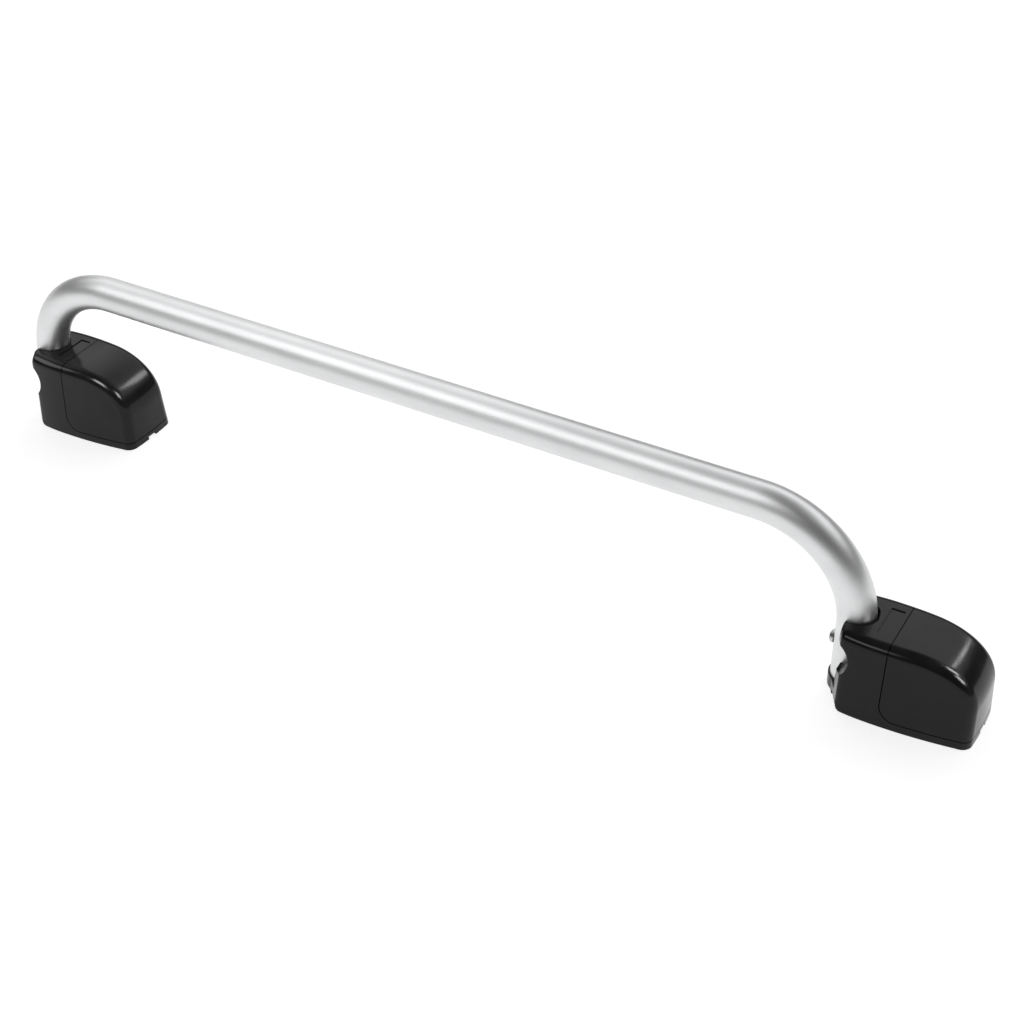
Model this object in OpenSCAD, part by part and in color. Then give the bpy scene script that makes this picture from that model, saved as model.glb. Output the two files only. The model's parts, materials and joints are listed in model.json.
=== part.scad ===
// Suction grab bar: a bent tube carried by two lever-operated suction feet.
// Frame: +X along the bar towards the noses of the feet, +Z up from the mounting surface.
// The origin is the middle of the underside. Each foot is drawn with its tube axis at x = 0.

/* [Bar] */
// Outside diameter of the tube
tube_d = 30; // [28:1:31]
// Wall thickness of the tube
tube_wall = 2; // [1.5:0.5:3]
// Distance between the axes of the two legs
span = 780; // [500:10:1000]
// Height of the bar's axis above the mounting surface
bar_height = 143; // [135:1:220]
// Centreline radius of both bends
bend_r = 84; // [60:1:90]

/* [Foot] */
// Length of a foot from the tube axis to the nose
foot_length = 104.5; // [100:0.5:112]
// Height of a foot
foot_height = 70.5; // [70:0.5:72]
// Half of the greatest width of a foot
half_width = 35; // [35:0.5:40]
// Moulded wall thickness
wall = 2.5; // [2:0.1:2.6]
// Radius along the top side edges and the nose corners
top_fillet = 9; // [7:0.5:10]
// Height at which the nose starts to curve back to the top
nose_z = 30; // [28:1:36]

/* [Lever cover] */
// Distance from the tube axis to the seam of the cover
seam_x = 35; // [34:0.5:36]
// Height of the lower seam
seam_z = 7; // [6:0.5:8]
// Radius of the seam's lower rear corner
seam_corner = 13; // [10:1:15]
// Opening angle of the cover
open_angle = 55; // [50:1:58]

/* [Suction unit] */
// Distance from the tube axis to the stem axis
stem_x = 49; // [48:0.5:50]
// Vertical travel of the stem
stroke = 3.5; // [3:0.5:4]
// Radius of the rubber cup
cup_r = 26.5; // [24:0.5:26.5]

/* [Hidden] */
$fn = 64;
fine = 96;
gap = 0.35;                    // between bodies that move past each other
fit = 0.05;                    // running clearance of a pin in a bore
tube_r = tube_d / 2;
bore_r = tube_r + 0.2;
rear_x = 1.4;                  // rear edge of the side walls, at the foot
rear_lean = 2.6;               // how far it leans back at the top
lug_x = -4;                    // rear face of the arms beside the tube
widest_x = 24;
side_curve = 420;              // plan radius of the sides ahead of the widest point
rear_curve = 170;              // and behind it
draft = 0.075;
nose_draft = 0.03;
nose_bow = 0.8;                // how far the nose bows out in the middle
nose_mid = foot_length - nose_draft * nose_z - nose_bow;
top_end = 45;                  // where the flat top ends
bulge = 2.3;                   // exponent of the curve from the top to the nose
collar_z = 10;                 // the collar closes round the tube below this height
tube_end_z = 10;
tube_block_x = 18.5;           // front of the block that holds the tube
notch_r = 16;
notch_x = -9.5;
notch_z = 44.6;

screw_z = 40;                  // tube screw, M6
screw_r = 3;
head_r = 5.25;
head_h = 3.3;

seam_gap = 0.8;                // visible gap round the cover
hinge_x = seam_x + 2.6;
hinge_z = foot_height - 6;
pin_r = 1.5;
pin_half = 17;
ear_in = 8.5;                  // fixed ears, from the middle
ear_out = 12.5;
knuckle_in = 13;               // knuckles of the cover
knuckle_out = 16.8;
cheek_in = 5;                  // side plates of the cam bracket
cheek_out = 8;

well_r = cup_r + 1;            // well round the cup
well_wall = 2;
plate_z = 24;                  // underside of the chassis plate
plate_t = 3;
guide_r = 7.5;
guide_top = 39.5;
stem_r = 4;
cross_z = hinge_z - 9;         // cross pin height with the cover shut
cross_r = 1.5;
cross_half = 9;
post_r = 3.5;
posts = [[23, 25], [23, -25], [78, 21], [78, -21]];
cam_screw_x = [61, 69];
cam_plate_z = 56;
disc_z = 11.5;                 // underside of the pressure plate
disc_t = 2;
spring_r = 10.5;
spring_wire = 0.8;
spring_turns = 3.5;

overall_min = -tube_r - head_h;
overall_max = span + foot_length;
left_x = -(overall_min + overall_max) / 2;
right_x = left_x + span;

function square_of(v) = v * v;

// Half width of the foot at the surface, before draft and fillet.
function side_y(x) = half_width - square_of(x - widest_x) / (2 * (x > widest_x ? side_curve : rear_curve));

// The side profile of the top and nose: a rounded curve from the flat top (u = 90) to the nose (u = 0).
function profile(u) = [
    top_end + (nose_mid - top_end) * pow(cos(u), 2 / bulge),
    nose_z + (foot_height - nose_z) * pow(sin(u), 2 / bulge)
];

function profile_normal(u) =
    u > 89.4 ? [0, 1]
    : u < 0.6 ? [1, 0]
    : let (d = profile(u + 0.5) - profile(u - 0.5)) [d[1], -d[0]] / norm(d);

function profile_inside(u, d) = profile(u) - d * profile_normal(u);

// The place on the profile, moved in by d, that has height z.
function find_u(z, d, low = 0, high = 90, n = 16) =
    let (m = (low + high) / 2)
    n == 0 ? m : profile_inside(m, d)[1] < z ? find_u(z, d, m, high, n - 1) : find_u(z, d, low, m, n - 1);

function side_inset(z, t) =
    let (start = foot_height - top_fillet, q = top_fillet - t)
    z <= start ? draft * z + t : draft * start + top_fillet - sqrt(max(0, q * q - square_of(z - start)));

function corner_middle(x, z) = side_y(x) - draft * z - top_fillet;

// The corner between a side and the nose at height z, a ball of the fillet radius rolled along the profile.
function corner_points(z, t, steps) =
    let (
        q = top_fillet - t,
        start = foot_height - top_fillet,
        first = z <= start ? 90 : acos(min(1, (z - start) / q))
    )
    [for (k = [0:steps])
        let (phi = first * (1 - k / steps))
        z <= nose_z
        ? let (c = nose_mid + nose_draft * (nose_z - z) - top_fillet)
            [c + q * cos(phi), corner_middle(c, z) + q * sin(phi)]
        : let (
            u = find_u(z, top_fillet - q * cos(phi)),
            c = profile_inside(u, top_fillet),
            p = profile_inside(u, top_fillet - q * cos(phi))
        )
            [p[0], corner_middle(c[0], c[1]) + q * sin(phi)]
    ];

function rear_edge(z) = rear_x - rear_lean * min(1, max(0, (z - nose_z) / 27.5));

// Half of the outline at height z, for a shell t inside the outside.
function half_outline(z, t) =
    let (
        inset = side_inset(z, t),
        rear = rear_edge(z),
        rear_y = side_y(rear) - inset,
        corner = corner_points(z, t, 6),
        nose = corner[6],
        bow = z <= nose_z ? nose_bow : nose_bow * profile_normal(find_u(z, t))[0]
    )
    concat(
        [for (a = [180:-13.5:126]) (tube_r + 1.5 - t) * [cos(a), sin(a)]],
        [[rear - 0.9 + t, rear_y - 1.4], [rear + t, rear_y - 0.3]],
        [for (i = [0:4]) let (x = 5 + t + (corner[0][0] - 5 - t) * i / 5) [x, side_y(x) - inset]],
        corner,
        [[nose[0] + bow * 0.75, nose[1] * 0.5], [nose[0] + bow, 0]]
    );

function mirrored(points) = concat(points, [for (i = [len(points) - 2:-1:1]) [points[i][0], -points[i][1]]]);

// Triangles across an outline of n points that is the same on both sides of the middle.
function cap_faces(n) = [
    for (i = [0:n / 2 - 1]) let (a = i, b = i + 1, c = n - i - 1, d = (n - i) % n)
        each i == 0 ? [[a, b, c]] : b == c ? [[a, b, d]] : [[a, b, c], [a, c, d]]
];

// The closed outside form of a foot, or the form t inside it, as a stack of outlines.
module foot_form(t = 0) {
    start = foot_height - top_fillet;
    q = top_fillet - t;
    levels = concat(
        [0, nose_z, nose_z + 6, nose_z + 12, nose_z + 18, nose_z + 23, nose_z + 27.5, start],
        [for (a = [16:15:76]) start + q * sin(a)],
        [start + q - 0.03]
    );
    rings = [for (z = levels) [for (p = mirrored(half_outline(z, t))) [p[0], p[1], z]]];
    n = len(rings[0]);
    last = (len(levels) - 1) * n;
    polyhedron(
        [for (ring = rings) each ring],
        concat(
            [for (f = cap_faces(n)) [f[2], f[1], f[0]]],
            [for (k = [0:len(levels) - 2], i = [0:n - 1]) let (j = (i + 1) % n, a = k * n, b = a + n)
                each [[a + i, a + j, b + j], [a + i, b + j, b + i]]],
            [for (f = cap_faces(n)) [last + f[0], last + f[1], last + f[2]]]
        )
    );
}

// A profile drawn in X and Z, given width across Y from y0 to y1.
module across(y0, y1) {
    translate([0, y1, 0]) rotate([90, 0, 0]) linear_extrude(y1 - y0) children();
}

module across_rod(x, z, r, y0, y1, sides = $fn) {
    translate([x, y1, z]) rotate([90, 0, 0]) cylinder(r = r, h = y1 - y0, $fn = sides);
}

module upright(x, y, r, z0, z1, sides = $fn) {
    translate([x, y, z0]) rotate([0, 0, 17]) cylinder(r = r, h = z1 - z0, $fn = sides);
}

module along_x(z, r, x0, x1, sides = $fn) {
    translate([x0, 0, z]) rotate([0, 90, 0]) cylinder(r = r, h = x1 - x0, $fn = sides);
}

// The side view of the cover's region, grown by g on its seam.
module cover_region(g = 0) {
    far = foot_length + 20;
    r = seam_corner;
    polygon(concat(
        [[seam_x - g, foot_height + 20]],
        [for (a = [180:9:270]) [seam_x + r + (r + g) * cos(a), seam_z + r + (r + g) * sin(a)]],
        [[far, seam_z - g], [far, foot_height + 20]]
    ));
}

// Distance from the hinge to the top edge of the housing at its seam, for a point a degrees down the fillet.
function seam_reach(a) =
    let (h = max(0, foot_height - top_fillet * (1 - cos(a)) - hinge_z))
    norm([hinge_x - seam_x + seam_gap, h]);

// A barrel round the hinge that follows the top, the fillets and the sides, taken in by g.
module hinge_barrel(g) {
    flat = corner_middle(seam_x, foot_height - top_fillet);
    side = [for (a = [0, 12, 24, 36, 48, 60, 70.5]) [seam_reach(a) - g, flat + top_fillet * sin(a)]];
    translate([hinge_x, 0, hinge_z]) rotate([90, 0, 0]) rotate([0, 0, 29]) rotate_extrude($fn = fine)
        polygon(concat(
            [[0, -40], [seam_reach(70.5) - g, -40]],
            [for (i = [6:-1:0]) [side[i][0], -side[i][1]]],
            side,
            [[seam_reach(70.5) - g, 40], [0, 40]]
        ));
}

// ---------- bar ----------

module bend_section(r) {
    translate([bend_r, 0]) circle(r = r, $fn = fine);
}

module bent_rod(r, bottom) {
    leg = bar_height - bend_r;
    translate([0, 0, bottom]) cylinder(r = r, h = leg - bottom, $fn = fine);
    translate([span, 0, bottom]) cylinder(r = r, h = leg - bottom, $fn = fine);
    translate([bend_r, 0, bar_height]) rotate([0, 90, 0]) cylinder(r = r, h = span - 2 * bend_r, $fn = fine);
    translate([bend_r, 0, leg]) rotate([90, 0, 0]) rotate([0, 0, 90])
        rotate_extrude(angle = 90, $fn = fine) bend_section(r);
    translate([span - bend_r, 0, leg]) rotate([90, 0, 0])
        rotate_extrude(angle = 90, $fn = fine) bend_section(r);
}

module bar_tube() {
    color([0.78, 0.79, 0.80]) translate([left_x, 0, 0]) difference() {
        bent_rod(tube_r, tube_end_z);
        bent_rod(tube_r - tube_wall, tube_end_z - 1);
        for (x = [0, span]) translate([x, 0, 0]) along_x(screw_z, screw_r + 0.3, -tube_d, tube_d);
    }
}

// ---------- housing ----------

module tube_space() {
    upright(0, 0, bore_r, collar_z - 3, foot_height + 5, fine);
    // the mouth is eased towards the nose, where the bend of the tube starts
    translate([0, 0, 52]) rotate([0, 4, 0]) rotate([0, 0, 23]) cylinder(r = bore_r + 0.3, h = 24, $fn = fine);
    translate([-60, -50, collar_z]) cube([60 + lug_x, 100, foot_height]);
    across_rod(notch_x, notch_z, notch_r, -50, 50, fine);
}

module base_ring() {
    intersection() {
        foot_form();
        translate([-30, -50, 0]) cube([200, 100, seam_z]);
    }
}

module cup_well() {
    upright(stem_x, 0, well_r + well_wall, 0, plate_z, fine);
    for (p = posts) upright(p[0], p[1], post_r, seam_z - 2.6, plate_z, 32);
}

module housing_shell() {
    difference() {
        foot_form();
        across(-60, 60) cover_region(seam_gap);
        // the room inside, behind the seam and above the floor
        difference() {
            foot_form(wall);
            translate([-30, -50, -1]) cube([30 + tube_block_x, 100, 100]);
            translate([0, -50, -1]) cube([200, 100, seam_z - seam_gap + 1]);
        }
        // room for the cover's round rear edge to turn
        hinge_barrel(0);
    }
}

module label_recess() {
    translate([20.5, -16, foot_height - 0.9]) cube([10.5, 32, 3]);
}

module finger_notch() {
    translate([foot_length - 3.4, -5, -1]) cube([10, 10, 3.8]);
}

module housing() {
    color([0.05, 0.05, 0.055]) difference() {
        union() {
            housing_shell();
            cup_well();
        }
        // the open underside: the cup's well, and the room between it and the base ring
        upright(stem_x, 0, well_r, -1, plate_z + 1, fine);
        difference() {
            intersection() {
                foot_form(wall);
                translate([tube_block_x, -50, -1]) cube([200, 100, seam_z - wall + 1]);
            }
            upright(stem_x, 0, well_r + well_wall, -2, seam_z, fine);
        }
        tube_space();
        along_x(screw_z, screw_r + 0.3, 0, tube_block_x + 1);
        label_recess();
        finger_notch();
        for (p = posts) upright(p[0], p[1], 1.25, seam_z + 3, plate_z + 1, 24);
    }
}

// ---------- lever cover ----------

module cover_shell() {
    difference() {
        union() {
            intersection() {
                foot_form();
                across(-60, 60) cover_region();
            }
            // a lip round about the hinge closes the seam from inside
            intersection() {
                foot_form(0.5);
                hinge_barrel(0.45);
            }
        }
        foot_form(wall);
    }
}

module cover_knuckle(y0, y1) {
    across_rod(hinge_x, hinge_z, 3.5, y0, y1);
    translate([hinge_x - 1.5, y0, hinge_z]) cube([7, y1 - y0, 6]);
    translate([hinge_x, y0, hinge_z - 2.5]) cube([9, y1 - y0, 8.5]);
}

module lever_cover() {
    color([0.05, 0.05, 0.055]) difference() {
        union() {
            cover_shell();
            intersection() {
                union() {
                    cover_knuckle(knuckle_in, knuckle_out);
                    cover_knuckle(-knuckle_out, -knuckle_in);
                    for (x = cam_screw_x) upright(x, 0, 4, cam_plate_z + 2, foot_height, 32);
                }
                foot_form(1);
            }
        }
        across_rod(hinge_x, hinge_z, pin_r + fit, -20, 20);
        for (x = cam_screw_x) upright(x, 0, 1.25, cam_plate_z, cam_plate_z + 8.6, 24);
    }
}

// ---------- chassis ----------

module ear_profile() {
    r = 3.1;
    translate([hinge_x, hinge_z]) circle(r = r);
    polygon([[hinge_x - r, hinge_z], [hinge_x - 6, plate_z + 2], [hinge_x + 6, plate_z + 2], [hinge_x + r, hinge_z]]);
}

module chassis() {
    color([0.16, 0.16, 0.17]) difference() {
        union() {
            translate([0, 0, plate_z]) linear_extrude(plate_t)
                polygon([[19, -28.3], [58, -28.3], [83, -25], [83, 25], [58, 28.3], [19, 28.3]]);
            across(ear_in, ear_out) ear_profile();
            across(-ear_out, -ear_in) ear_profile();
            upright(stem_x, 0, guide_r, plate_z, guide_top, fine);
            // block that takes the tube screw's nut
            translate([19, -8, plate_z]) cube([5.5, 16, screw_z + 6.3 - plate_z]);
        }
        upright(stem_x, 0, stem_r + fit, plate_z - 1, guide_top + 1, fine);
        across_rod(hinge_x, hinge_z, pin_r, -20, 20);
        along_x(screw_z, screw_r + 0.3, 15, 30);
        translate([20.5, -5.05, screw_z - 5.05]) cube([10, 10.1, 10.1]);
        for (p = posts) upright(p[0], p[1], 1.8, plate_z - 1, plate_z + plate_t + 1, 32);
    }
}

// A pan-head screw pointing down, its head resting on height z.
module small_screw(x, y, z, length) {
    upright(x, y, 1.2, z - length, z, 24);
    upright(x, y, 3, z, z + 1.4, 32);
    upright(x, y, 2.5, z + 1.4, z + 2.1, 32);
}

module chassis_screws() {
    color([0.6, 0.6, 0.62]) for (p = posts) difference() {
        small_screw(p[0], p[1], plate_z + plate_t, 14);
        translate([p[0] - 2, p[1] - 0.4, plate_z + plate_t + 1.2]) cube([4, 0.8, 2]);
        translate([p[0] - 0.4, p[1] - 2, plate_z + plate_t + 1.2]) cube([0.8, 4, 2]);
    }
}

module hinge_pin() {
    color([0.75, 0.75, 0.77]) across_rod(hinge_x, hinge_z, pin_r, -pin_half, pin_half);
}

// ---------- cam bracket, turning with the cover ----------

// Where the cross pin is in the bracket's own frame when the cover is open by a degrees.
function cam_path(a) =
    let (dx = stem_x - hinge_x, dz = cross_z - hinge_z - stroke * a / open_angle)
    [dx * cos(a) + dz * sin(a), -dx * sin(a) + dz * cos(a)];

// Unit normal of that path.
function cam_normal(a) =
    let (d = cam_path(a + 0.5) - cam_path(a - 0.5))
    [-d[1], d[0]] / norm(d);

module cam_slot() {
    half = cross_r + 0.3;
    over = 8;
    angles = [for (i = [0:12]) -over + (open_angle + 2 * over) * i / 12];
    polygon(concat(
        [for (a = angles) cam_path(a) + half * cam_normal(a)],
        [for (i = [12:-1:0]) cam_path(angles[i]) - half * cam_normal(angles[i])]
    ));
}

module cheek_profile() {
    edge = cam_screw_x[1] + 4 - hinge_x;
    low = cam_plate_z - hinge_z;
    translate([hinge_x, hinge_z]) difference() {
        polygon([[-3, -1], [-2, 2.4], [2, 2.6], [12, -4.2], [edge, low + 2.2], [edge, low + 0.2], [20, low - 3],
            [16, -14.5], [8, -19.5], [-2, -22], [-10.5, -22], [-12.5, -18], [-9, -11]]);
        cam_slot();
    }
}

module cam_bracket() {
    color([0.66, 0.67, 0.69]) difference() {
        union() {
            across(cheek_in, cheek_out) cheek_profile();
            across(-cheek_out, -cheek_in) cheek_profile();
            translate([cam_screw_x[0] - 4, -cheek_out, cam_plate_z])
                cube([cam_screw_x[1] - cam_screw_x[0] + 8, 2 * cheek_out, 2]);
        }
        across_rod(hinge_x, hinge_z, pin_r + fit, -20, 20);
        for (x = cam_screw_x) upright(x, 0, 1.5, cam_plate_z - 1, cam_plate_z + 3, 32);
    }
}

module cam_screws() {
    color([0.6, 0.6, 0.62]) for (x = cam_screw_x) difference() {
        union() {
            upright(x, 0, 1.2, cam_plate_z - 0.5, cam_plate_z + 8, 24);
            upright(x, 0, 2.8, cam_plate_z - 2, cam_plate_z, 32);
        }
        translate([x - 1.8, -0.4, cam_plate_z - 2.5]) cube([3.6, 0.8, 1.3]);
    }
}

// ---------- stem and cup ----------

module cross_pin() {
    color([0.75, 0.75, 0.77]) across_rod(stem_x, cross_z, cross_r, -cross_half, cross_half);
}

module stem() {
    color([0.7, 0.7, 0.72]) difference() {
        union() {
            upright(stem_x, 0, stem_r, disc_z + disc_t + 0.8, cross_z, fine);
            intersection() {
                across_rod(stem_x, cross_z, stem_r + 0.6, -4.5, 4.5);
                upright(stem_x, 0, 5.2, cross_z - 6, cross_z + 6, fine);
            }
            upright(stem_x, 0, 2.5, disc_z + 0.3, disc_z + disc_t + 1, 48);
        }
        across_rod(stem_x, cross_z, cross_r + 0.01, -10, 10);
    }
}

module pressure_plate() {
    color([0.12, 0.12, 0.13]) difference() {
        union() {
            upright(stem_x, 0, 15, disc_z, disc_z + disc_t, fine);
            upright(stem_x, 0, 7, disc_z, disc_z + disc_t + 0.7, fine);
        }
        upright(stem_x, 0, 2.55, disc_z - 1, disc_z + disc_t + 2, 48);
    }
}

// Points round the wire of a coil at turn angle a.
function ring(a, radius, z, sides) =
    [for (i = [0:sides - 1]) let (b = 360 * i / sides)
        [(radius + spring_wire * cos(b)) * cos(a), (radius + spring_wire * cos(b)) * sin(a), z + spring_wire * sin(b)]];

module spring() {
    sides = 6;
    steps = round(spring_turns * 18);
    low = disc_z + disc_t + spring_wire + 0.05;
    high = plate_z - spring_wire - 0.1;
    points = [for (k = [0:steps]) each ring(360 * spring_turns * k / steps, spring_r,
        low + (high - low) * k / steps, sides)];
    faces = concat(
        [[for (i = [0:sides - 1]) i]],
        [for (k = [0:steps - 1], i = [0:sides - 1]) let (j = (i + 1) % sides)
            [k * sides + i, (k + 1) * sides + i, (k + 1) * sides + j, k * sides + j]],
        [[for (i = [sides - 1:-1:0]) steps * sides + i]]
    );
    color([0.7, 0.7, 0.72]) translate([stem_x, 0, 0]) polyhedron(points, faces);
}

module suction_cup() {
    r = cup_r;
    color([0.1, 0.1, 0.1]) translate([stem_x, 0, 0]) rotate_extrude($fn = fine) polygon([
        [0, 7.4], [8, 7.2], [14, 5.4], [r - 8, 2.9], [r - 3, 0.8], [r - 1.8, 0], [r, 0], [r, 1.3],
        [r - 3, 2.8], [r - 8, 5.4], [15, 9.2], [12, 10.8], [9, 11.2], [0, 11.2]
    ]);
}

// ---------- tube fastening ----------

module tube_screw() {
    color([0.55, 0.55, 0.57]) difference() {
        union() {
            along_x(screw_z, screw_r, -tube_r, 25.5, 48);
            along_x(screw_z, head_r, -tube_r - head_h + 1.2, -tube_r, 48);
            along_x(screw_z, head_r - 1.2, -tube_r - head_h, -tube_r, 48);
        }
        translate([-tube_r - head_h - 1, -2.7, screw_z - 0.5]) cube([2.8, 5.4, 1]);
        translate([-tube_r - head_h - 1, -0.5, screw_z - 2.7]) cube([2.8, 1, 5.4]);
    }
}

module tube_nut() {
    color([0.72, 0.7, 0.6]) difference() {
        translate([20.5, -5, screw_z - 5]) cube([3.9, 10, 10]);
        along_x(screw_z, screw_r + 0.02, 15, 30);
    }
}

module tube_plug() {
    color([0.06, 0.06, 0.06]) {
        upright(0, 0, tube_r, collar_z - 3, tube_end_z, fine);
        difference() {
            upright(0, 0, tube_r - tube_wall - 0.02, tube_end_z - 1, tube_end_z + 14, fine);
            upright(0, 0, tube_r - tube_wall - 2.5, tube_end_z + 1, tube_end_z + 15, fine);
        }
    }
}

// ---------- the two feet ----------

module left() { translate([left_x, 0, 0]) children(); }
module right() { translate([right_x, 0, 0]) children(); }

module left_housing() { left() housing(); }
module left_lever_cover() { left() lever_cover(); }
module left_chassis() { left() chassis(); }
module left_chassis_screws() { left() chassis_screws(); }
module left_hinge_pin() { left() hinge_pin(); }
module left_cam_bracket() { left() cam_bracket(); }
module left_cam_screws() { left() cam_screws(); }
module left_cross_pin() { left() cross_pin(); }
module left_stem() { left() stem(); }
module left_pressure_plate() { left() pressure_plate(); }
module left_spring() { left() spring(); }
module left_suction_cup() { left() suction_cup(); }
module left_tube_screw() { left() tube_screw(); }
module left_tube_nut() { left() tube_nut(); }
module left_tube_plug() { left() tube_plug(); }
module right_housing() { right() housing(); }
module right_lever_cover() { right() lever_cover(); }
module right_chassis() { right() chassis(); }
module right_chassis_screws() { right() chassis_screws(); }
module right_hinge_pin() { right() hinge_pin(); }
module right_cam_bracket() { right() cam_bracket(); }
module right_cam_screws() { right() cam_screws(); }
module right_cross_pin() { right() cross_pin(); }
module right_stem() { right() stem(); }
module right_pressure_plate() { right() pressure_plate(); }
module right_spring() { right() spring(); }
module right_suction_cup() { right() suction_cup(); }
module right_tube_screw() { right() tube_screw(); }
module right_tube_nut() { right() tube_nut(); }
module right_tube_plug() { right() tube_plug(); }

bar_tube();
left_housing();
left_lever_cover();
left_chassis();
left_chassis_screws();
left_hinge_pin();
left_cam_bracket();
left_cam_screws();
left_cross_pin();
left_stem();
left_pressure_plate();
left_spring();
left_suction_cup();
left_tube_screw();
left_tube_nut();
left_tube_plug();
right_housing();
right_lever_cover();
right_chassis();
right_chassis_screws();
right_hinge_pin();
right_cam_bracket();
right_cam_screws();
right_cross_pin();
right_stem();
right_pressure_plate();
right_spring();
right_suction_cup();
right_tube_screw();
right_tube_nut();
right_tube_plug();
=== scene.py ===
import json
import math

import bmesh
import bpy
import numpy as np
from mathutils import Matrix, Vector


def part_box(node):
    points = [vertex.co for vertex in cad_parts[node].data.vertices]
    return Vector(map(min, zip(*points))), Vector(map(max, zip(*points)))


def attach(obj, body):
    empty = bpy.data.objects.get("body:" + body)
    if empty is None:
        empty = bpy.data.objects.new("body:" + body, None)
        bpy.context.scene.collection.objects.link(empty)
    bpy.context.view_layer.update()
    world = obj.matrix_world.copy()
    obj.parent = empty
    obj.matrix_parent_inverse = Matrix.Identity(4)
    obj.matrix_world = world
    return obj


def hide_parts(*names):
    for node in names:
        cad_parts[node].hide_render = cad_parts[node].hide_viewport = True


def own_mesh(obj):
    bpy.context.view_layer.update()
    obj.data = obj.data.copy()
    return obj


# Suction grab bar: own meshes for the tube, the moulded shells, the cups and the springs, and better
# materials on every other CAD node. Sizes in the mesh code are millimetres, local to a foot: x from the
# axis of its leg towards its nose, z from the mounting surface. The tube is drawn from the left leg.

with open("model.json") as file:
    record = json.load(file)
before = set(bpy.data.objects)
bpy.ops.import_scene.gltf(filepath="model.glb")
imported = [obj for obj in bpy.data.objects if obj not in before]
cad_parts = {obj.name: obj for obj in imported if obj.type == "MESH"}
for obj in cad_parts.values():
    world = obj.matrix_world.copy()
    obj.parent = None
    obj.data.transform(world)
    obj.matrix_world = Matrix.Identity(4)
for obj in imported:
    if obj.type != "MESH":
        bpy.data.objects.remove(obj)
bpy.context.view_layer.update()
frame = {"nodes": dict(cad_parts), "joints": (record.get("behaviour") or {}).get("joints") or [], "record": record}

# ---------- places, from the frame ----------

X, Z = 0, 2


def middle_mm(node, axis):
    """The middle of a CAD node's box along an axis."""
    low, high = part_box(node)
    return (low[axis] + high[axis]) * 500


def joint(name):
    return next(j for j in frame["joints"] if j["name"] == name)


tube_low, tube_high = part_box("bar_tube")
TUBE_R = round((tube_high.y - tube_low.y) * 500, 1)
TUBE_END = tube_low.z * 1000
BAR_Z = tube_high.z * 1000 - TUBE_R
BEND_R = 84.0
LEG_X = {side: middle_mm(f"{side}_tube_plug", X) for side in ("left", "right")}
SPAN = LEG_X["right"] - LEG_X["left"]

housing_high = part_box("left_housing")[1]
FOOT_LENGTH = housing_high.x * 1000 - LEG_X["left"]
HALF_WIDTH = housing_high.y * 1000
FOOT_HEIGHT = 70.5

hinge_place = joint("left_lever_hinge")["pos_m"]
HINGE_X = hinge_place[0] * 1000 - LEG_X["left"]
HINGE_Z = hinge_place[2] * 1000

STEM_X = middle_mm("left_stem", X) - LEG_X["left"]
SCREW_Z = middle_mm("left_tube_screw", Z)
PLATE_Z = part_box("left_chassis")[0].z * 1000
cup_low, cup_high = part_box("left_suction_cup")
CUP_R = (cup_high.y - cup_low.y) / 2 * 1000
CUP_H = cup_high.z * 1000

CAM_HEAD_R = 2.8
CAM_HEAD_AND_PLATE = 4
cam_low, cam_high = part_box("left_cam_screws")
CAM_SCREW_X = (cam_low.x * 1000 + CAM_HEAD_R - LEG_X["left"], cam_high.x * 1000 - CAM_HEAD_R - LEG_X["left"])
CAM_PLATE_TOP = cam_low.z * 1000 + CAM_HEAD_AND_PLATE

# ---------- the form of a foot ----------

FILLET = 9.0
WALL = 2.5
COLLAR_WALL = 1.5
REAR_X, REAR_LEAN, LEAN_HEIGHT = 1.4, 2.6, 27.5
REAR_EASE = ((-0.9, -1.4), (-0.35, -0.62), (0.0, -0.3))  # points that ease the rear edge of a side
WIDEST_X = 24.0
SIDE_CURVE, REAR_CURVE = 420.0, 170.0
DRAFT, NOSE_DRAFT = 0.075, 0.03
NOSE_Z, NOSE_BOW = 30.0, 0.8
NOSE_X = FOOT_LENGTH - NOSE_DRAFT * NOSE_Z - NOSE_BOW
TOP_END = 45.0
BULGE = 2.3


def side_y(x):
    return HALF_WIDTH - (x - WIDEST_X) ** 2 / (2 * (SIDE_CURVE if x > WIDEST_X else REAR_CURVE))


def profile(u):
    """Side profile of the top and nose: u = 90 at the flat top, 0 at the nose."""
    c, s = max(0.0, math.cos(math.radians(u))), max(0.0, math.sin(math.radians(u)))
    return np.array([TOP_END + (NOSE_X - TOP_END) * c ** (2 / BULGE),
                     NOSE_Z + (FOOT_HEIGHT - NOSE_Z) * s ** (2 / BULGE)])


def profile_normal(u, step=0.05):
    if u > 90 - step:
        return np.array([0.0, 1.0])
    if u < step:
        return np.array([1.0, 0.0])
    along = profile(u + step) - profile(u - step)
    return np.array([along[1], -along[0]]) / np.hypot(*along)


def profile_inside(u, depth):
    return profile(u) - depth * profile_normal(u)


def find_u(z, depth, halvings=26):
    """The place on the profile, moved in by depth, that has height z."""
    low, high = 0.0, 90.0
    for _ in range(halvings):
        middle = (low + high) / 2
        if profile_inside(middle, depth)[1] < z:
            low = middle
        else:
            high = middle
    return (low + high) / 2


def corner_middle(x, z):
    """Half the width at the middle of the fillet ball."""
    return side_y(x) - DRAFT * z - FILLET


def rear_edge(z):
    return REAR_X - REAR_LEAN * min(1.0, max(0.0, (z - NOSE_Z) / LEAN_HEIGHT))


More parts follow.
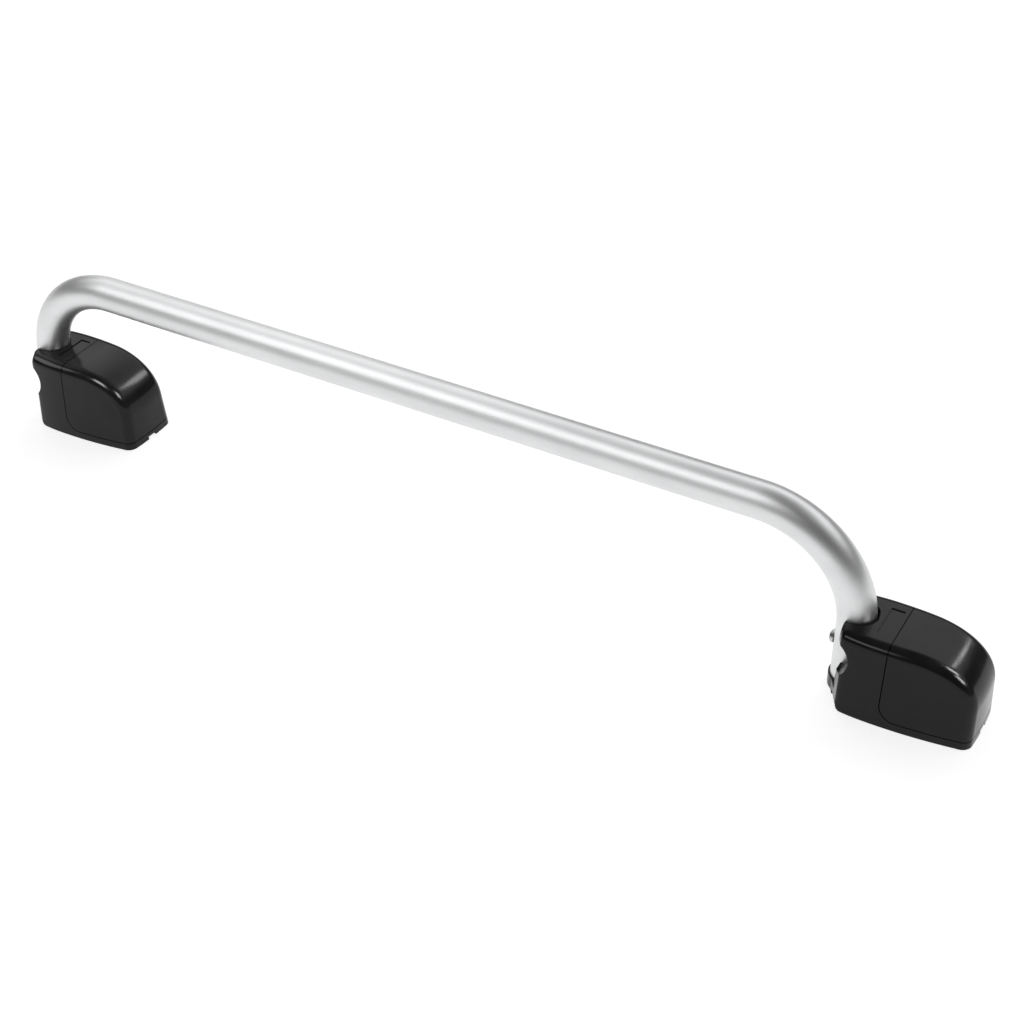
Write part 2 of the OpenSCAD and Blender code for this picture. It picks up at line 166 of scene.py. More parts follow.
def nose_corner(z, ball, first, steps=14):
    """The corner between a side and the nose, from the side's end of the fillet, first degrees round it."""
    points = []
    for k in range(steps + 1):
        turn = math.radians(first * (1 - k / steps))
        if z <= NOSE_Z:
            x = NOSE_X + NOSE_DRAFT * (NOSE_Z - z) - FILLET
            points.append((x + ball * math.cos(turn), corner_middle(x, z) + ball * math.sin(turn)))
        else:
            depth = FILLET - ball * math.cos(turn)
            u = find_u(z, depth)
            y = corner_middle(*profile_inside(u, FILLET)) + ball * math.sin(turn)
            points.append((profile_inside(u, depth)[0], y))
    return points


def half_outline(z, inside, side_steps=22, nose_steps=7):
    """Half of the outline at height z, for the form that lies inside the outside by that much."""
    start, ball = FOOT_HEIGHT - FILLET, FILLET - inside
    if z <= start:
        inset, first = DRAFT * z + inside, 90.0
    else:
        inset = DRAFT * start + FILLET - math.sqrt(max(0.0, ball * ball - (z - start) ** 2))
        first = math.degrees(math.acos(min(1.0, (z - start) / ball)))
    corner = nose_corner(z, ball, first)
    bow = NOSE_BOW if z <= NOSE_Z else NOSE_BOW * profile_normal(find_u(z, inside))[0]
    rear = rear_edge(z)
    rear_y = side_y(rear) - inset
    collar = TUBE_R + COLLAR_WALL - inside
    points = [(collar * math.cos(a), collar * math.sin(a)) for a in np.radians(np.arange(180, 125.9, -4.5))]
    points += [(rear + dx + inside, rear_y + dy) for dx, dy in REAR_EASE]
    side_xs = np.linspace(rear + 2 + inside, corner[0][0], side_steps, endpoint=False)
    points += [(x, side_y(x) - inset) for x in side_xs]
    points += corner
    x, y = corner[-1]
    left = [1 - k / nose_steps for k in range(1, nose_steps + 1)]
    points += [(x + bow * (1 - part ** 2), y * part) for part in left]
    return points


# ---------- mesh tools ----------

def new_object(name, vertices, faces):
    mesh = bpy.data.meshes.new(name)
    mesh.from_pydata(vertices, [], faces)
    mesh.validate()
    mesh.update()
    made = bpy.data.objects.new(name, mesh)
    bpy.context.scene.collection.objects.link(made)
    return made


def fix_normals(piece):
    work = bmesh.new()
    work.from_mesh(piece.data)
    bmesh.ops.recalc_face_normals(work, faces=work.faces)
    work.to_mesh(piece.data)
    work.free()


def skin(name, rings, clockwise=False):
    """A closed mesh through rings of equally many points, with one flat face over each end. The rings
    run counterclockwise as seen from the last one, or clockwise; fix_normals mends any that don't."""
    n = len(rings[0])
    vertices = [point for ring in rings for point in ring]
    sides = []
    for ring in range(0, len(vertices) - n, n):
        for i in range(n):
            j = (i + 1) % n
            sides.append([ring + i, ring + j, ring + n + j, ring + n + i])
    first, last = list(range(n)), list(range(len(vertices) - n, len(vertices)))
    if clockwise:
        faces = [first] + [[a, d, c, b] for a, b, c, d in sides] + [last[::-1]]
    else:
        faces = [first[::-1], last] + sides
    made = new_object(name, vertices, faces)
    fix_normals(made)
    return made


def foot_form(inside, low_levels=5, high_levels=22):
    """The closed outside form of a foot, or the form that lies inside it by that much."""
    start, ball = FOOT_HEIGHT - FILLET, FILLET - inside
    levels = list(np.linspace(0, NOSE_Z, low_levels)) + list(np.linspace(NOSE_Z, start, high_levels))[1:]
    levels += [start + ball * math.sin(math.radians(a)) for a in (*range(5, 86, 5), 88)]
    rings = []
    for z in levels:
        half = half_outline(z, inside)
        rings.append([(x, y, z) for x, y in half] + [(x, -y, z) for x, y in half[-2:0:-1]])
    return skin("form", rings, clockwise=True)


def prism(points, low, high, axis):
    """A polygon given width along an axis; points are in the other two axes, in order."""
    to_3d = {
        "x": lambda p, w: (w, p[0], p[1]),
        "y": lambda p, w: (p[0], w, p[1]),
        "z": lambda p, w: (p[0], p[1], w),
    }[axis]
    return skin("cutter", [[to_3d(p, w) for p in points] for w in (low, high)])


def circle(x, y, r, sides=96, turn=0.31):
    angles = [2 * math.pi * (i + turn) / sides for i in range(sides)]
    return [(x + r * math.cos(a), y + r * math.sin(a)) for a in angles]


def upright(x, y, r, low, high, sides=96):
    return prism(circle(x, y, r, sides), low, high, "z")


def block(x, y, z):
    """A box from its ranges along the three axes."""
    return prism([(x[0], y[0]), (x[1], y[0]), (x[1], y[1]), (x[0], y[1])], *z, "z")


def combine(target, tool, operation, keep_tool=False):
    modifier = target.modifiers.new("b", "BOOLEAN")
    modifier.object, modifier.operation, modifier.solver = tool, operation, "EXACT"
    bpy.context.view_layer.update()
    evaluated = target.evaluated_get(bpy.context.evaluated_depsgraph_get())
    done = bpy.data.meshes.new_from_object(evaluated)
    target.modifiers.clear()
    old = target.data
    target.data = done
    bpy.data.meshes.remove(old)
    if not keep_tool:
        bpy.data.objects.remove(tool)
    return target


def cut(target, *tools):
    for tool in tools:
        combine(target, tool, "DIFFERENCE")
    return target


def copy_of(piece):
    copy = piece.copy()
    copy.data = piece.data.copy()
    bpy.context.scene.collection.objects.link(copy)
    return copy


def smooth(piece, degrees=32, same_place=1e-7):
    """Smooth shading, with sharp edges where the faces turn by more than this."""
    work = bmesh.new()
    work.from_mesh(piece.data)
    bmesh.ops.remove_doubles(work, verts=work.verts, dist=same_place)
    for face in work.faces:
        face.smooth = True
    for edge in work.edges:
        edge.smooth = len(edge.link_faces) == 2 and edge.calc_face_angle(0) < math.radians(degrees)
    work.to_mesh(piece.data)
    work.free()


def place(piece, name, side, body, *nodes, slot=None):
    """Puts a mesh made in a foot's millimetres at its place in the frame, and says what it rides on
    and which nodes it stands for. The slot argument is not used."""
    piece.name = piece.data.name = name
    to_metres = Matrix.Scale(0.001, 4)
    piece.data.transform(Matrix.Translation((LEG_X[side] / 1000, 0, 0)) @ to_metres)
    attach(piece, body)
    if nodes:
        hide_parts(*nodes)
    return piece


# ---------- the moulded shells ----------

SEAM_X, SEAM_Z, SEAM_CORNER, SEAM_GAP = 35.0, 7.0, 13.0, 0.8
FILLET_Y = corner_middle(SEAM_X, FOOT_HEIGHT - FILLET)
LIP_INSIDE, LIP_GAP = 1.1, 0.45                # the lip that closes the seam from inside
BARREL_END, BARREL_HALF = 70.5, 40             # where the barrel leaves the fillet, half its length

KNUCKLE_Y, KNUCKLE_R, PIN_BORE_R = (13, 16.8), 3.5, 1.55
WEB_X, WEB_Z, WEB_INSIDE = (-1.5, 8), (-0.1, 6), 0.01  # joins a knuckle to the cover; from the hinge
BOSS_R, BOSS_BORE = 4, 6.6
SCREW_BORE_R = 1.25

TUBE_BLOCK_X = 18.5                            # front of the block that holds the tube
ARM_X = -4                                     # rear face of the arms beside the tube
COLLAR_Z, BORE_FLOOR = 10, 7
BORE_GAP = 0.2
MOUTH_Z, MOUTH_HEIGHT, MOUTH_TILT, MOUTH_GAP = 52, 24, 4, 0.5
NOTCH = (-9.5, 44.6, 16.0)                     # middle and radius of the notch beside the tube
WELL_R, WELL_WALL = CUP_R + 1, 2
WELL_KEPT = (-8, 8)                            # heights between which the underside is left for the well
POSTS = ((23, 25), (23, -25), (78, 21), (78, -21))
POST_R, POST_ROOT, POST_SOLID = 3.5, 2, 3      # a post starts below the seam, its bore above it
REAR_ROUND, REAR_ROUND_Y = 5.0, 18             # beside the collar, outside this y
SCREW_HOLE_R = 3.3
RECESS_X, RECESS_Y, RECESS_DEPTH = (20.5, 31), (-16, 16), 0.9
FINGER_X, FINGER_Y, FINGER_Z = (FOOT_LENGTH - 3.4, FOOT_LENGTH + 7), (-5, 5), (-1, 2.8)

# how far cutters reach past the foot
ACROSS = (-60, 60)
BEHIND, AHEAD = -60, 200
BELOW, ABOVE, ROOM_ABOVE = -5, 90, 100
REGION_PAST = 20


def cover_region(gap):
    """The cover's part of the foot, in side view, grown by gap on its seam."""
    turned = SEAM_CORNER + gap
    far_x, far_z = FOOT_LENGTH + REGION_PAST, FOOT_HEIGHT + REGION_PAST
    points = [(SEAM_X - gap, far_z)]
    x, z = SEAM_X + SEAM_CORNER, SEAM_Z + SEAM_CORNER
    angles = np.radians(np.arange(180, 270.1, 3))
    points += [(x + turned * math.cos(a), z + turned * math.sin(a)) for a in angles]
    points += [(far_x, SEAM_Z - gap), (far_x, far_z)]
    return prism(points, *ACROSS, "y")


def hinge_barrel(gap, steps=120, turn=0.3):
    """A barrel round the hinge that follows the top, the fillets and the sides, taken in by gap."""
    def reach(a):
        height = max(0.0, FOOT_HEIGHT - FILLET * (1 - math.cos(math.radians(a))) - HINGE_Z)
        return math.hypot(HINGE_X - SEAM_X + SEAM_GAP, height) - gap
    angles = [*range(0, 70, 5), BARREL_END]
    half = [(reach(a), FILLET_Y + FILLET * math.sin(math.radians(a))) for a in angles]
    half.append((reach(BARREL_END), BARREL_HALF))
    rows = [(r, -y) for r, y in reversed(half)] + half
    return skin("cutter", [[(x, y, z) for x, z in circle(HINGE_X, HINGE_Z, r, steps, turn)] for r, y in rows])


def rear_round():
    """What the round on the lower rear corner of the base takes away, in side view."""
    x = REAR_X + REAR_ROUND
    angles = np.radians(np.arange(180, 271, 9))
    arc = [(x + REAR_ROUND * math.cos(a), REAR_ROUND + REAR_ROUND * math.sin(a)) for a in angles]
    return [(BEHIND, REAR_ROUND)] + arc + [(x, BELOW), (BEHIND, BELOW)]


def make_knuckle(sign):
    """A knuckle on the hinge pin, with the web that joins it to the cover."""
    low, high = sorted(sign * y for y in KNUCKLE_Y)
    knuckle = prism(circle(HINGE_X, HINGE_Z, KNUCKLE_R, 48), low, high, "y")
    web_x, web_z = [HINGE_X + dx for dx in WEB_X], [HINGE_Z + dz for dz in WEB_Z]
    combine(knuckle, block(web_x, (low + WEB_INSIDE, high - WEB_INSIDE), web_z), "UNION")
    combine(knuckle, copy_of(lip_form), "INTERSECT")
    return cut(knuckle, prism(circle(HINGE_X, HINGE_Z, PIN_BORE_R, 32), low - 1, high + 1, "y"))


def make_boss(x):
    """A boss for one of the cam bracket's screws."""
    boss = upright(x, 0, BOSS_R, CAM_PLATE_TOP, FOOT_HEIGHT, 48)
    combine(boss, copy_of(lip_form), "INTERSECT")
    return cut(boss, upright(x, 0, SCREW_BORE_R, CAM_PLATE_TOP - 1, CAM_PLATE_TOP + BOSS_BORE, 24))


def make_cover():
    shell = combine(copy_of(outer), cover_region(0), "INTERSECT")
    lip = combine(copy_of(lip_form), hinge_barrel(LIP_GAP), "INTERSECT")
    combine(shell, lip, "UNION")
    combine(shell, inner, "DIFFERENCE", keep_tool=True)
    for sign in (-1, 1):
        combine(shell, make_knuckle(sign), "UNION")
    for x in CAM_SCREW_X:
        combine(shell, make_boss(x), "UNION")
    return shell


def make_housing():
    body = cut(copy_of(outer), cover_region(SEAM_GAP), hinge_barrel(0))
    # the room inside, in front of the tube's block and above the seam
    room = cut(copy_of(inner),
               block((BEHIND, TUBE_BLOCK_X), ACROSS, (BELOW, ROOM_ABOVE)),
               block((BEHIND, AHEAD), ACROSS, (BELOW, SEAM_Z - SEAM_GAP)))
    cut(body, room)
    # the open underside, round the cup's well
    under = combine(copy_of(inner), block((TUBE_BLOCK_X, AHEAD), ACROSS, (BELOW, SEAM_Z - WALL)), "INTERSECT")
    cut(under, upright(STEM_X, 0, WELL_R + WELL_WALL, *WELL_KEPT))
    cut(body, under)
    combine(body, upright(STEM_X, 0, WELL_R + WELL_WALL, 0, PLATE_Z), "UNION")
    for x, y in POSTS:
        combine(body, upright(x, y, POST_R, SEAM_Z - POST_ROOT, PLATE_Z, 48), "UNION")
        cut(body, upright(x, y, SCREW_BORE_R, SEAM_Z + POST_SOLID, PLATE_Z + 1, 24))
    cut(body, upright(STEM_X, 0, WELL_R, -1, PLATE_Z + 1))
    # the tube's bore, eased where the bend starts, and open at the back
    cut(body, upright(0, 0, TUBE_R + BORE_GAP, BORE_FLOOR, ABOVE))
    mouth = upright(0, 0, TUBE_R + MOUTH_GAP, 0, MOUTH_HEIGHT)
    tilt = Matrix.Rotation(math.radians(MOUTH_TILT), 4, "Y")
    mouth.data.transform(Matrix.Translation((0, 0, MOUTH_Z)) @ tilt)
    cut(body, mouth)
    cut(body, block((BEHIND, ARM_X), ACROSS, (COLLAR_Z, ABOVE)))
    cut(body, prism(circle(*NOTCH), *ACROSS, "y"))
    for low, high in ((ACROSS[0], -REAR_ROUND_Y), (REAR_ROUND_Y, ACROSS[1])):
        cut(body, prism(rear_round(), low, high, "y"))
    cut(body, prism(circle(0, SCREW_Z, SCREW_HOLE_R, 32), 0, TUBE_BLOCK_X + 1, "x"))
    cut(body, block(RECESS_X, RECESS_Y, (FOOT_HEIGHT - RECESS_DEPTH, ABOVE)))
    cut(body, block(FINGER_X, FINGER_Y, FINGER_Z))
    return body


outer, inner, lip_form = foot_form(0), foot_form(WALL), foot_form(LIP_INSIDE)
cover, housing = make_cover(), make_housing()
for shell in (cover, housing):
    smooth(shell)
shells = {side: (copy_of(cover), copy_of(housing)) for side in LEG_X}
for side, (front, rear) in shells.items():
    place(front, f"{side}_cover_shell", side, f"{side}_lever", f"{side}_lever_cover", slot="black_plastic")
    place(rear, f"{side}_housing_shell", side, "frame", f"{side}_housing", slot="black_plastic")
for master in (outer, inner, lip_form, cover, housing):
    bpy.data.objects.remove(master)

# ---------- the tube ----------

BEND_POINTS, STRAIGHT_POINTS = 41, 26
END_LOOP = 10       # a ring this far up from each cut end
BEND_LOOP = 4       # and one this far below each bend


def tube_path():
    """Points along the tube's axis in x and z, each with the direction of the axis there."""
    leg = [TUBE_END, TUBE_END + END_LOOP, BAR_Z - BEND_R - BEND_LOOP]
    quarter = np.linspace(0, math.pi / 2, BEND_POINTS)
    points = [((0, z), (0, 1)) for z in leg]
    for a in quarter:
        middle = (BEND_R * (1 - math.cos(a)), BAR_Z - BEND_R * (1 - math.sin(a)))
        points.append((middle, (math.sin(a), math.cos(a))))
    for x in np.linspace(BEND_R, SPAN - BEND_R, STRAIGHT_POINTS)[1:-1]:
        points.append(((x, BAR_Z), (1, 0)))
    for a in quarter:
        middle = (SPAN - BEND_R * (1 - math.sin(a)), BAR_Z - BEND_R * (1 - math.cos(a)))
        points.append((middle, (math.cos(a), -math.sin(a))))
    points += [((SPAN, z), (0, -1)) for z in reversed(leg)]
    return points


def make_tube(sides=96):
    angles = [2 * math.pi * i / sides for i in range(sides)]
    rings = []
    for (x, z), (dx, dz) in tube_path():
        rings.append([(x - dz * TUBE_R * math.cos(a), TUBE_R * math.sin(a), z + dx * TUBE_R * math.cos(a))
                      for a in angles])
    made = skin("tube", rings)
    smooth(made, 40)
    return made


tube = place(make_tube(), "bar_tube_skin", "left", "frame", "bar_tube", slot="anodised_aluminium")

# ---------- suction cups and springs ----------


def lathe(points, steps=96):
    """Turns an outline of (radius, height) points about the stem's axis."""
    angles = [2 * math.pi * i / steps for i in range(steps)]
    vertices, faces, rows = [], [], []
    for r, z in points:
        if r == 0:
            rows.append([len(vertices)] * steps)
            vertices.append((STEM_X, 0, z))
        else:
            rows.append(list(range(len(vertices), len(vertices) + steps)))
            vertices += [(STEM_X + r * math.cos(a), r * math.sin(a), z) for a in angles]
    for a, b in zip(rows, rows[1:] + rows[:1]):
        for i in range(steps):
            j = (i + 1) % steps
            face = list(dict.fromkeys([a[i], a[j], b[j], b[i]]))
            if len(face) > 2:
                faces.append(face)
    made = new_object("lathe", vertices, faces)
    fix_normals(made)
    smooth(made, 50)
    return made


def curve_through(points, steps=6):
    """A smooth run of points through the given ones, by Catmull-Rom."""
    p = [np.array(points[0])] + [np.array(q) for q in points] + [np.array(points[-1])]
    out = []
    for i in range(1, len(p) - 2):
        for k in range(steps):
            t = k / steps
            out.append(tuple(0.5 * (2 * p[i] + (p[i + 1] - p[i - 1]) * t
                                    + (2 * p[i - 1] - 5 * p[i] + 4 * p[i + 1] - p[i + 2]) * t * t
                                    + (3 * p[i] - p[i - 1] - 3 * p[i + 1] + p[i + 2]) * t ** 3)))
    return out + [tuple(points[-1])]


def make_cup():
    r, h = CUP_R, CUP_H
    under = curve_through([(0.0, 7.4), (8.0, 7.1), (14.0, 5.4), (r - 8, 2.9), (r - 3.4, 0.9)])
    rim = [(r - 2.8, 0.62), (r - 2.5, 0.25), (r - 1.9, 0.02), (r - 0.5, 0.0), (r - 0.12, 0.14), (r, 0.5)]
    rim.append((r - 0.1, 1.1))
    top = curve_through([(r - 0.4, 1.45), (r - 3, 2.8), (r - 8, 5.4), (15.0, 8.9), (12.2, 10.7)])
    boss = [(11.6, h - 0.2), (11.0, h), (0.0, h)]
    return lathe(under + rim + top + boss)


def make_spring(turns=3.5, radius=10.5, wire=0.8, sides=12, turn_steps=40):
    low, high = [corner.z * 1000 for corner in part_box("left_spring")]
    steps = round(turns * turn_steps)
    rings = []
    for k in range(steps + 1):
        a = 2 * math.pi * turns * k / steps
        z = low + wire + (high - low - 2 * wire) * k / steps
        ring = []
        for i in range(sides):
            b = 2 * math.pi * i / sides
            r = radius + wire * math.cos(b)
            ring.append((STEM_X + r * math.cos(a), r * math.sin(a), z + wire * math.sin(b)))
        rings.append(ring)
    made = skin("spring", rings)
    smooth(made, 40)
    return made


soft = {}
for side in LEG_X:
    cup = place(make_cup(), f"{side}_cup_rubber", side, "frame", f"{side}_suction_cup", slot="cup_rubber")
    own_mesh(cup)
    coil = place(make_spring(), f"{side}_spring_coil", side, "frame", f"{side}_spring", slot="spring_steel")
    soft[side] = (cup, coil)

# ---------- materials ----------


def material(name, color, metallic=0.0, roughness=0.4, **sockets):
    """A new look. A node linked to a socket later takes over from the plain value given here."""
    look = bpy.data.materials.new(name)
    look.use_nodes = True
    shader = look.node_tree.nodes["Principled BSDF"]
    shader.inputs["Base Color"].default_value = (*color, 1)
    shader.inputs["Metallic"].default_value = metallic
    shader.inputs["Roughness"].default_value = roughness
    for key, value in sockets.items():
        shader.inputs[key.replace("_", " ")].default_value = value
    return look, look.node_tree, shader


def add(tree, kind, **values):
    node = tree.nodes.new(kind)
    for key, value in values.items():
        if key in node.inputs:
            node.inputs[key].default_value = value
        else:
            setattr(node, key, value)
    return node


def noise(tree, scale, detail=2.0, stretch=None):
    made = add(tree, "ShaderNodeTexNoise", Scale=scale, Detail=detail)
    source = add(tree, "ShaderNodeTexCoord").outputs["Object"]
    if stretch:
        mapping = add(tree, "ShaderNodeMapping")
        mapping.inputs["Scale"].default_value = stretch
        tree.links.new(source, mapping.inputs["Vector"])
        source = mapping.outputs["Vector"]
    tree.links.new(source, made.inputs["Vector"])
    return made.outputs["Fac"]


def remap(tree, source, low, high, start=0.3, stop=0.7):
    node = add(tree, "ShaderNodeMapRange")
    for key, value in (("From Min", start), ("From Max", stop), ("To Min", low), ("To Max", high)):
        node.inputs[key].default_value = value
    tree.links.new(source, node.inputs["Value"])
    return node.outputs["Result"]


def bump(tree, shader, source, strength, distance, before=None):
    node = add(tree, "ShaderNodeBump", Strength=strength, Distance=distance)
    tree.links.new(source, node.inputs["Height"])
    if before:
        tree.links.new(before.outputs["Normal"], node.inputs["Normal"])
    tree.links.new(node.outputs["Normal"], shader.inputs["Normal"])
    return node


def ramp(tree, source, stops):
    """Colours in order, each at its own place between 0 and 1."""
    node = add(tree, "ShaderNodeValToRGB")
    elements = node.color_ramp.elements
    for _ in stops[2:]:
        elements.new(0.5)
    for element, (at, color) in zip(elements, stops):
        element.position, element.color = at, (*color, 1)
    tree.links.new(source, node.inputs["Fac"])
    return node.outputs["Color"]


def tint(tree, shader, source, dark, light, start=0.35, stop=0.65):
    tree.links.new(ramp(tree, source, [(start, dark), (stop, light)]), shader.inputs["Base Color"])


def aluminium():
    """Bead-blasted, anodised tube: fine grain, faint die lines along the bar."""
    look, tree, shader = material("anodised_tube", (0.83, 0.835, 0.84), metallic=1.0, roughness=0.34)
    grain = noise(tree, 1500, detail=3)
    patches = noise(tree, 60, detail=4, stretch=(0.25, 1, 1))
    tint(tree, shader, patches, dark=(0.70, 0.705, 0.71), light=(0.76, 0.765, 0.77))
    tree.links.new(remap(tree, grain, low=0.36, high=0.46), shader.inputs["Roughness"])
    lines = noise(tree, 900, stretch=(0.02, 1, 1))
    line_bump = bump(tree, shader, lines, strength=0.05, distance=0.00005)
    bump(tree, shader, grain, strength=0.25, distance=0.00012, before=line_bump)
    return look


def black_plastic():
    """Semi-gloss ABS: faint moulding texture and slow unevenness in its gloss."""
    look, tree, shader = material("black_abs", (0.010, 0.010, 0.011), roughness=0.27, IOR=1.30)
    cloud = noise(tree, 45, detail=3)
    tree.links.new(remap(tree, cloud, low=0.14, high=0.19), shader.inputs["Roughness"])
    tint(tree, shader, cloud, dark=(0.003, 0.003, 0.0034), light=(0.005, 0.005, 0.0054))
    bump(tree, shader, noise(tree, 2600), strength=0.10, distance=0.00006)
    return look


def inner_plastic():
    """Glass-filled plastic: short pale fibres lie under its surface."""
    look, tree, shader = material("glass_filled_plastic", (0.05, 0.05, 0.052), roughness=0.55)
    fibre = noise(tree, 700, detail=4, stretch=(1, 0.3, 1))
    tint(tree, shader, fibre, dark=(0.035, 0.035, 0.037), light=(0.075, 0.075, 0.078))
    bump(tree, shader, fibre, strength=0.25, distance=0.0001)
    return look


def plug_plastic():
    look, tree, shader = material("plug_plastic", (0.014, 0.014, 0.014), roughness=0.45)
    bump(tree, shader, noise(tree, 1500), strength=0.15, distance=0.00008)
    return look


def rubber():
    """Matt rubber with a patchy grey bloom."""
    look, tree, shader = material("cup_rubber", (0.02, 0.02, 0.02), roughness=0.6)
    bloom = noise(tree, 120, detail=5)
    tint(tree, shader, bloom, dark=(0.016, 0.016, 0.016), light=(0.032, 0.032, 0.031))
    tree.links.new(remap(tree, bloom, low=0.5, high=0.68), shader.inputs["Roughness"])
    bump(tree, shader, noise(tree, 1800), strength=0.2, distance=0.00008)
    return look


def steel(name, color, low, high, stretch=(1, 1, 1)):
    """Metal between two roughnesses, with its grain drawn out by stretch."""
    look, tree, shader = material(name, color, metallic=1.0, roughness=low)
    brushed = noise(tree, 1200, detail=3, stretch=stretch)
    tree.links.new(remap(tree, brushed, low, high), shader.inputs["Roughness"])
    dark = tuple(c * 0.86 for c in color)
    tint(tree, shader, noise(tree, 200, detail=3), dark, light=color)
    bump(tree, shader, brushed, strength=0.2, distance=0.00006)
    return look


looks = {
    "anodised_aluminium": aluminium(),
    "black_plastic": black_plastic(),
    "inner_plastic": inner_plastic(),
    "plug_plastic": plug_plastic(),
    "cup_rubber": rubber(),
    "steel": steel("zinc_steel", (0.62, 0.62, 0.60), 0.28, 0.42),
    "bracket_steel": steel("pressed_steel", (0.56, 0.57, 0.58), 0.30, 0.48, stretch=(0.1, 1, 1)),
    "stem_metal": steel("turned_steel", (0.62, 0.62, 0.64), 0.22, 0.36, stretch=(1, 1, 6)),
    "spring_steel": steel("spring_wire", (0.50, 0.50, 0.52), 0.25, 0.40),
}

slot_of = {s["node"]: s["material_slot"] for s in frame["record"]["subparts"]}
for name, node in frame["nodes"].items():
    node.data.materials.clear()
    node.data.materials.append(looks[slot_of[name]])
for side in LEG_X:
    for shell in shells[side]:
        shell.data.materials.append(looks["black_plastic"])
    cup, coil = soft[side]
    cup.data.materials.append(looks["cup_rubber"])
    coil.data.materials.append(looks["spring_steel"])
tube.data.materials.append(looks["anodised_aluminium"])

# ---------- floor and surround ----------

WHITE = (1, 1, 1, 1)
FLOOR_HALF, FLOOR_DROP = 4, 0.0005                     # metres; just under the feet
SURROUND_R, SURROUND_Z, SURROUND_SIDES = 9, (-6, 9), 48

floor_corners = [(x * FLOOR_HALF, y * FLOOR_HALF, 0) for x, y in ((-1, -1), (1, -1), (1, 1), (-1, 1))]
floor = new_object("floor", floor_corners, [[0, 1, 2, 3]])
floor.location.z = -FLOOR_DROP
floor_look, _, _ = material("floor_white", (0.55, 0.55, 0.55), roughness=0.9,
                            Emission_Color=WHITE, Emission_Strength=0.82)
floor.data.materials.append(floor_look)

# a white surround that only the camera sees
surround = prism(circle(0, 0, SURROUND_R, SURROUND_SIDES), *SURROUND_Z, "z")
surround.name = "surround"
for ray in ("diffuse", "glossy", "transmission", "volume_scatter", "shadow"):
    setattr(surround, f"visible_{ray}", False)
surround_look, _, _ = material("surround_white", (0, 0, 0), roughness=1.0,
                               Emission_Color=WHITE, Emission_Strength=1.0)
surround.data.materials.append(surround_look)

# ---------- light ----------

# brightness at heights from the horizon, 0, to straight above, 1: a bright band on the far side,
# and dark on the near side
FAR_SKY = [(0.0, 0.25), (0.12, 0.07), (0.38, 0.10), (0.52, 1.46), (0.76, 1.46), (0.90, 0.35), (1.0, 0.15)]
NEAR_SKY = [(0.0, 0.16), (0.30, 0.09), (1.0, 0.12)]
NEAR_END, FAR_START = -0.25, 0.35                      # between these y the two sides blend
COLOR_A, COLOR_B, COLOR_RESULT = 6, 7, 2               # the Mix node's colour sockets
FOOT_MIDDLE_X, FOOT_MIDDLE_Z = 60, 55                  # the shells' lights are placed from here
NOSE_DISTANCE = 4.5
STREAK_SIZE, STREAK_RADIANCE = 0.62, 24.0

world = bpy.data.worlds.new("studio")
bpy.context.scene.world = world
world.use_nodes = True
sky = world.node_tree
split = add(sky, "ShaderNodeSeparateXYZ")
sky.links.new(add(sky, "ShaderNodeTexCoord").outputs["Generated"], split.inputs["Vector"])
mix = add(sky, "ShaderNodeMix", data_type="RGBA")
sky.links.new(remap(sky, split.outputs["Y"], 0.0, 1.0, start=NEAR_END, stop=FAR_START), mix.inputs["Factor"])
for socket, stops in ((COLOR_A, NEAR_SKY), (COLOR_B, FAR_SKY)):
    greys = [(at, (value, value, value)) for at, value in stops]
    sky.links.new(ramp(sky, split.outputs["Z"], greys), mix.inputs[socket])
sky.links.new(mix.outputs[COLOR_RESULT], sky.nodes["Background"].inputs["Color"])
sky.nodes["Background"].inputs["Strength"].default_value = 1.0


def direction(azimuth, elevation):
    """The way to something, from degrees: azimuth from -Y towards +X, elevation above the horizon."""
    a, e = math.radians(azimuth), math.radians(elevation)
    return Vector((math.sin(a) * math.cos(e), -math.cos(a) * math.cos(e), math.sin(e)))


def softbox(name, location, width, height, radiance, only):
    """A soft light aimed at the origin that reaches only some pieces. Places and sizes are metres."""
    light = bpy.data.lights.new(name, "AREA")
    light.shape, light.size, light.size_y = "RECTANGLE", width, height
    light.energy = radiance * math.pi * width * height
    lamp = bpy.data.objects.new(name, light)
    bpy.context.scene.collection.objects.link(lamp)
    lamp.location = location
    lamp.rotation_euler = (-Vector(location)).to_track_quat("-Z", "Y").to_euler()
    lit = bpy.data.collections.new(f"{name}_reach")
    for piece in only:
        lit.objects.link(piece)
    lamp.light_linking.receiver_collection = lit


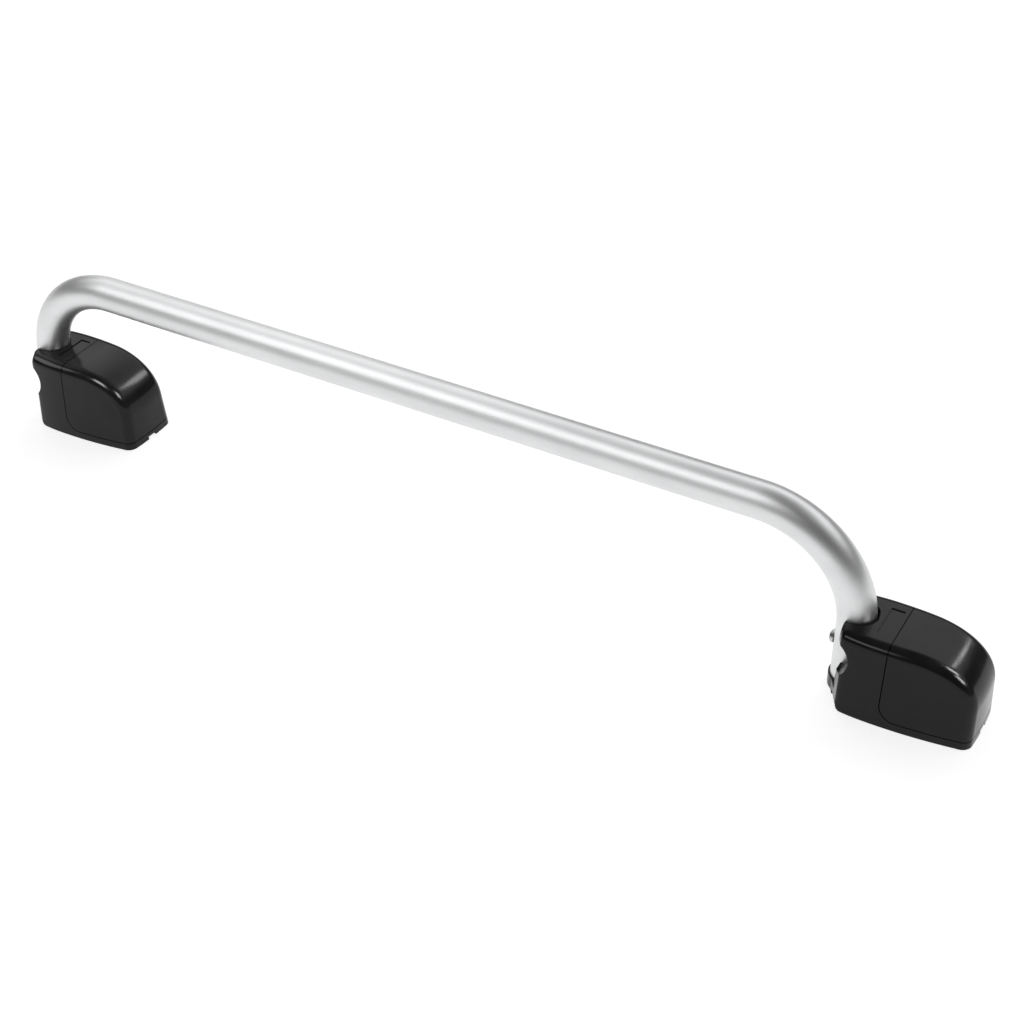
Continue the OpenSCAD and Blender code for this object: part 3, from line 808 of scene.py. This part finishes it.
def shell_light(name, side, way, width, height, radiance, distance=2.0):
    """A light for one foot's shells, a way and a distance from the middle of that foot."""
    middle = Vector(((LEG_X[side] + FOOT_MIDDLE_X) / 1000, 0, FOOT_MIDDLE_Z / 1000))
    where = middle + distance * direction(*way)
    softbox(f"{side}_{name}", where, width, height, radiance, only=shells[side])


softbox("tube_front_box", (-1.00, -1.40, 1.90), 2.5, 1.5, 1.8, only=[tube])
softbox("tube_top_box", (-1.15, 0.0, 2.35), 1.8, 1.1, 0.6, only=[tube])
softbox("tube_low_box", (-1.05, -2.10, 0.65), 1.3, 0.7, 0.8, only=[tube])
softbox("tube_back_box", (-2.20, 2.60, 0.80), 1.8, 1.3, 0.7, only=[tube])
shell_light("nose_box", "right", (152, 34), 0.20, 0.45, 21.0, distance=NOSE_DISTANCE)
shell_light("nose_box", "left", (144, 39), 0.8, 1.0, 12.0, distance=NOSE_DISTANCE)
shell_light("edge_box", "right", (-26, 32), 0.9, 0.45, 4.5)
shell_light("edge_box", "left", (-60, 34), 1.0, 0.8, 4.0)
for side, high, low in (("right", (112, 52), (82, 36)), ("left", (-2, 46), (61, 39))):
    shell_light("high_streak", side, high, STREAK_SIZE, STREAK_SIZE, STREAK_RADIANCE)
    shell_light("low_streak", side, low, STREAK_SIZE, STREAK_SIZE, STREAK_RADIANCE)

# ---------- camera ----------

LENS, SENSOR = 62.66, 36
CAMERA_AZIMUTH, CAMERA_ELEVATION, CAMERA_ROLL = 30.962, 37.268, 1.238
CAMERA_PLACE = (1.07517, -0.98312, 0.783)              # metres from the bar's axis above the left leg

camera = bpy.data.cameras.new("camera")
camera.sensor_width, camera.lens = SENSOR, LENS
eye = bpy.data.objects.new("camera", camera)
bpy.context.scene.collection.objects.link(eye)
back = direction(CAMERA_AZIMUTH, CAMERA_ELEVATION)
level = (-back).cross(Vector((0, 0, 1))).normalized()
down = (-back).cross(level)
roll = math.radians(CAMERA_ROLL)
right = math.cos(roll) * level + math.sin(roll) * down
up = math.sin(roll) * level - math.cos(roll) * down
x, y, z = CAMERA_PLACE
where = Matrix.Translation((LEG_X["left"] / 1000 + x, y, BAR_Z / 1000 + z))
eye.matrix_world = where @ Matrix((right, up, back)).transposed().to_4x4()
bpy.context.scene.camera = eye
bpy.context.scene.view_settings.view_transform = "Standard"
